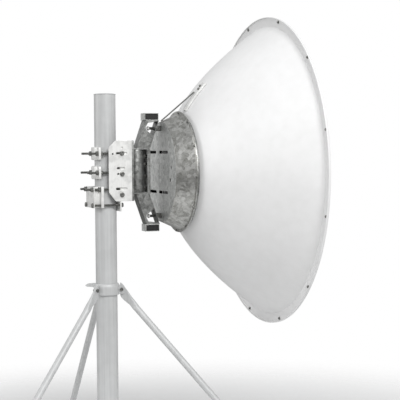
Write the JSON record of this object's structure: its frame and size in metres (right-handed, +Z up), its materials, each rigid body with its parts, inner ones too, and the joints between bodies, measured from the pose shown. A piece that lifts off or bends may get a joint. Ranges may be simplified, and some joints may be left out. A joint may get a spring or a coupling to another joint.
{
  "type": "parabolic dish antenna on a braced pole mast",
  "caption": "Deep white parabolic dish with a galvanised drum hub, clamped by a bow shaped bracket to a round pole mast on a braced tripod.",
  "frame": {"origin": "underside of the mast's base plate, on the mast's axis", "axes": "+Z up along the mast, +X along the dish's axis the way it looks, +Y to the left seen from behind"},
  "size_m": [1.5384, 1.521, 2.008],
  "materials": {
    "white_paint": "satin white powder coat on spun aluminium",
    "galvanised": "hot dip galvanised, spangled",
    "bright_zinc": "bright zinc plated sheet",
    "mast_steel": "matt pale grey galvanised tube",
    "bolt_zinc": "zinc plated bolt steel",
    "black_plug": "moulded black plastic"
  },
  "bodies": {
    "root": {"reflector": "white_paint", "feed_tube": "white_paint", "sub_reflector": "white_paint", "drum_plate": "galvanised", "drum_wall": "galvanised", "hub_ring": "galvanised", "arm_upper": "galvanised", "arm_lower": "galvanised", "cross_tube_upper": "galvanised", "cross_tube_lower": "galvanised", "pivot_tube": "galvanised", "bow_spine": "galvanised", "pivot_cheek_upper": "galvanised", "pivot_cheek_lower": "galvanised", "pivot_plate": "galvanised", "side_plate_near": "bright_zinc", "side_plate_far": "bright_zinc", "pole_saddle": "bright_zinc", "clamp_jaw_upper": "bright_zinc", "clamp_jaw_middle": "bright_zinc", "lower_bracket": "bright_zinc", "lower_strap": "bright_zinc", "stay_bar": "bright_zinc", "mast_tube": "mast_steel", "mast_cap": "mast_steel", "base_plate": "mast_steel", "collar": "mast_steel", "brace_right": "mast_steel", "brace_left": "mast_steel", "brace_far": "mast_steel", "foot_plate_right": "mast_steel", "foot_plate_left": "mast_steel", "foot_plate_far": "mast_steel", "stud_upper_near": "bolt_zinc", "stud_upper_far": "bolt_zinc", "stud_middle_near": "bolt_zinc", "stud_middle_far": "bolt_zinc", "stud_lower_near": "bolt_zinc", "stud_lower_far": "bolt_zinc", "stud_bottom_near": "bolt_zinc", "stud_bottom_far": "bolt_zinc", "adjusting_bolt_upper": "bolt_zinc", "adjusting_bolt_lower": "bolt_zinc", "stay_rod": "bolt_zinc", "end_plug_upper_near": "black_plug", "end_plug_upper_far": "black_plug", "end_plug_lower_near": "black_plug", "end_plug_lower_far": "black_plug"}
  },
  "joints": []
}
